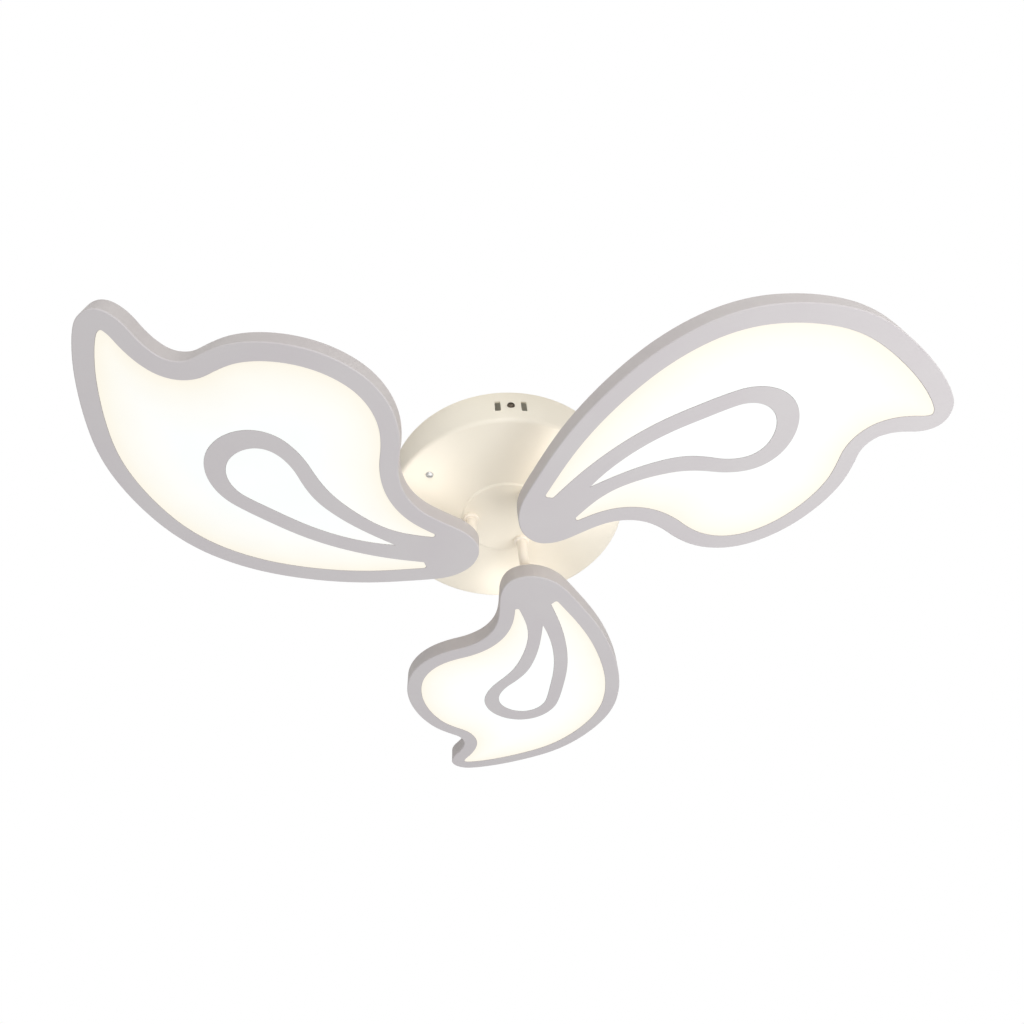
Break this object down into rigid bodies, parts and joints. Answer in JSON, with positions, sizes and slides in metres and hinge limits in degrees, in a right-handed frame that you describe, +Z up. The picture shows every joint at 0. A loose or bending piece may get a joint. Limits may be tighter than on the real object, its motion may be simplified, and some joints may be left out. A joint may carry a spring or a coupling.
{
  "type": "led ceiling chandelier",
  "caption": "Flush ceiling light: a shallow round canopy on bent tube arms that carry flat, pierced petal panels with an inlaid teardrop, lit by edge-following light strips.",
  "frame": {"origin": "centre of the canopy's rim, on the ceiling", "axes": "+Z up into the ceiling, Y along the ceiling strap and through the canopy's two side screws, the object hangs towards -Z"},
  "size_m": [0.5454, 0.501, 0.0824],
  "materials": {
    "cream_paint": "satin cream stove enamel",
    "arm_paint": "satin cream stove enamel",
    "grey_shell": "fine matt light grey",
    "opal_panel": "satin opal acrylic, lit from behind",
    "zinc_steel": "bright zinc plate",
    "zinc_screw": "bright zinc plate",
    "dark_screw": "dark bronze plate",
    "brass": "bright machined brass",
    "nylon": "natural nylon",
    "driver_case": "fine matt white",
    "circuit_board": "green solder mask",
    "terminal_plastic": "natural white moulding",
    "lead_sleeve": "soft white sleeve",
    "earth_sleeve": "green and yellow sleeve",
    "board_aluminium": "white solder mask on aluminium",
    "led_chip": "yellow phosphor",
    "socket_plastic": "white moulding"
  },
  "bodies": {
    "canopy": {"canopy_pan": "cream_paint", "post_plate": "zinc_steel", "swivel_washers": "nylon", "ceiling_bracket": "zinc_steel", "side_screws": "dark_screw", "earth_screw": "brass", "driver_base": "driver_case", "driver_cover": "driver_case", "driver_board": "circuit_board", "driver_screws": "zinc_screw", "driver_nuts": "zinc_steel", "driver_leads": "lead_sleeve", "terminal_block": "terminal_plastic", "terminal_screws": "zinc_screw", "terminal_fixing_screws": "zinc_screw", "mains_leads": "lead_sleeve", "earth_lead": "earth_sleeve"},
    "petal_arm_1": {"arm_tube_1": "arm_paint", "arm_collar_1": "arm_paint", "arm_nut_1": "zinc_steel", "arm_foot_1": "arm_paint", "foot_screws_1": "zinc_screw", "lead_1": "lead_sleeve", "lead_plug_1": "socket_plastic", "petal_frame_1": "grey_shell", "petal_panel_1": "opal_panel", "petal_back_1": "grey_shell", "back_screws_1": "zinc_screw", "led_board_1": "board_aluminium", "led_chips_1": "led_chip", "board_socket_1": "socket_plastic"},
    "petal_arm_2": {"arm_tube_2": "arm_paint", "arm_collar_2": "arm_paint", "arm_nut_2": "zinc_steel", "arm_foot_2": "arm_paint", "foot_screws_2": "zinc_screw", "lead_2": "lead_sleeve", "lead_plug_2": "socket_plastic", "petal_frame_2": "grey_shell", "petal_panel_2": "opal_panel", "petal_back_2": "grey_shell", "back_screws_2": "zinc_screw", "led_board_2": "board_aluminium", "led_chips_2": "led_chip", "board_socket_2": "socket_plastic"},
    "petal_arm_3": {"arm_tube_3": "arm_paint", "arm_collar_3": "arm_paint", "arm_nut_3": "zinc_steel", "arm_foot_3": "arm_paint", "foot_screws_3": "zinc_screw", "lead_3": "lead_sleeve", "lead_plug_3": "socket_plastic", "petal_frame_3": "grey_shell", "petal_panel_3": "opal_panel", "petal_back_3": "grey_shell", "back_screws_3": "zinc_screw", "led_board_3": "board_aluminium", "led_chips_3": "led_chip", "board_socket_3": "socket_plastic"}
  },
  "joints": [
    {"name": "petal_swivel_1", "type": "hinge", "parent": "canopy", "child": "petal_arm_1", "pos_m": [-0.0267, -0.00009, -0.034], "axis": [0, 0, 1], "range_deg": [-15, 15]},
    {"name": "petal_swivel_2", "type": "hinge", "parent": "canopy", "child": "petal_arm_2", "pos_m": [0.01327, 0.02317, -0.034], "axis": [0, 0, 1], "range_deg": [-15, 15]},
    {"name": "petal_swivel_3", "type": "hinge", "parent": "canopy", "child": "petal_arm_3", "pos_m": [0.01343, -0.02308, -0.034], "axis": [0, 0, 1], "range_deg": [-15, 15]}
  ]
}
